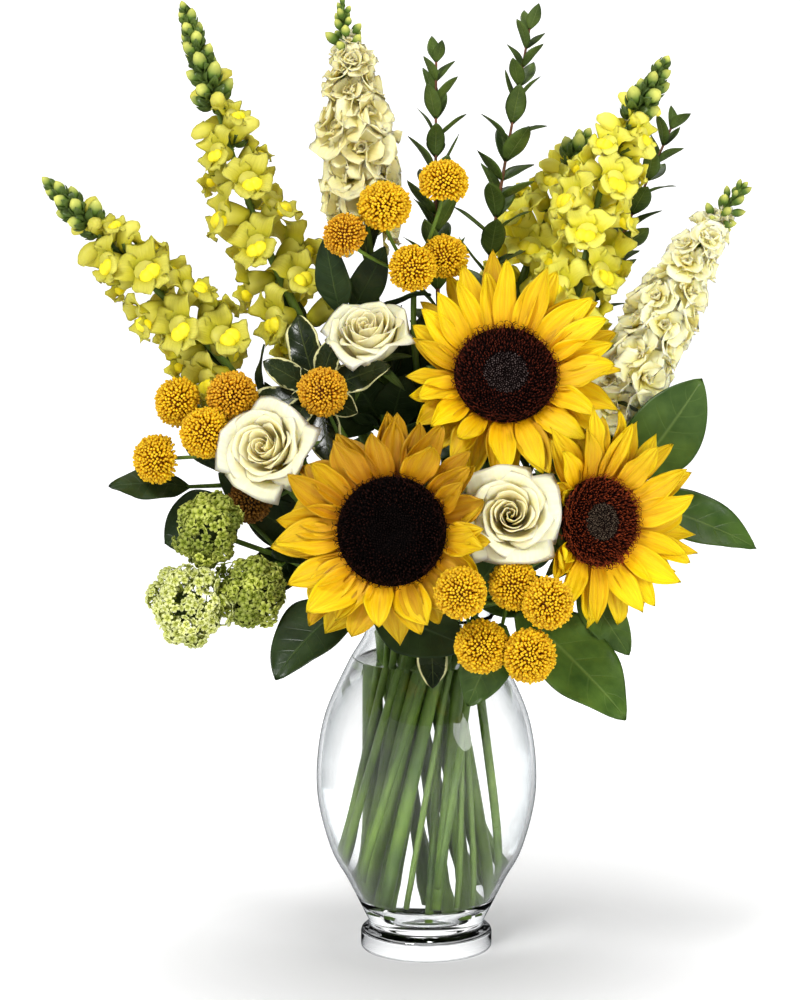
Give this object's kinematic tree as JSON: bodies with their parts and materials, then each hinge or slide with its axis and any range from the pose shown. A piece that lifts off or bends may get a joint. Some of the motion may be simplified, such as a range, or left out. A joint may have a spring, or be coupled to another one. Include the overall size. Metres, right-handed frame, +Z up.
{
  "type": "mixed sunflower bouquet in a glass vase",
  "caption": "Clear bulb-shaped glass vase of water holding a full mixed bouquet of sunflowers, cream roses, yellow snapdragons, stock, button chrysanthemums and foliage.",
  "frame": {"origin": "centre of the vase foot's flat underside, on the surface that it stands on", "axes": "+Z up along the vase's axis; -Y towards the front, where the sunflowers look; +X to the right seen from the front"},
  "size_m": [0.4348, 0.2453, 0.5942],
  "materials": {
    "petal": "matte",
    "seed": "matte",
    "stem": "satin",
    "cream": "matte",
    "lemon": "matte",
    "button": "matte",
    "lime": "matte",
    "leaf": "satin",
    "water": "polished",
    "glass": "polished"
  },
  "bodies": {
    "root": {"sunflower_top_petals": "petal", "sunflower_top_disc": "seed", "sunflower_top_stem": "stem", "sunflower_left_petals": "petal", "sunflower_left_disc": "seed", "sunflower_left_stem": "stem", "sunflower_right_petals": "petal", "sunflower_right_disc": "seed", "sunflower_right_stem": "stem", "rose_upper_bloom": "cream", "rose_upper_stem": "stem", "rose_left_bloom": "cream", "rose_left_stem": "stem", "rose_centre_bloom": "cream", "rose_centre_stem": "stem", "snapdragon_left": "lemon", "snapdragon_upper_left": "lemon", "snapdragon_right": "lemon", "snapdragon_back": "lemon", "stock_top": "cream", "stock_right": "cream", "myrtle_left": "leaf", "myrtle_middle": "leaf", "myrtle_right": "leaf", "button_front_head_1": "button", "button_front_head_2": "button", "button_front_head_3": "button", "button_front_head_4": "button", "button_front_head_5": "button", "button_front_stem": "stem", "button_left_head_1": "button", "button_left_head_2": "button", "button_left_head_3": "button", "button_left_head_4": "button", "button_left_stem": "stem", "button_top_head_1": "button", "button_top_head_2": "button", "button_top_head_3": "button", "button_top_head_4": "button", "button_top_head_5": "button", "button_top_stem": "stem", "button_centre_head_1": "button", "button_centre_head_2": "button", "button_centre_stem": "stem", "viburnum_head_1": "lime", "viburnum_head_2": "lime", "viburnum_head_3": "lime", "viburnum_stem": "leaf", "leaves_left": "leaf", "leaves_front_left": "leaf", "leaves_front_right": "leaf", "leaves_right": "leaf", "leaves_upper": "leaf", "leaves_back_right": "leaf", "leaves_back_left": "leaf", "variegated_left": "leaf", "variegated_front": "leaf", "water": "water", "vase": "glass"}
  },
  "joints": []
}
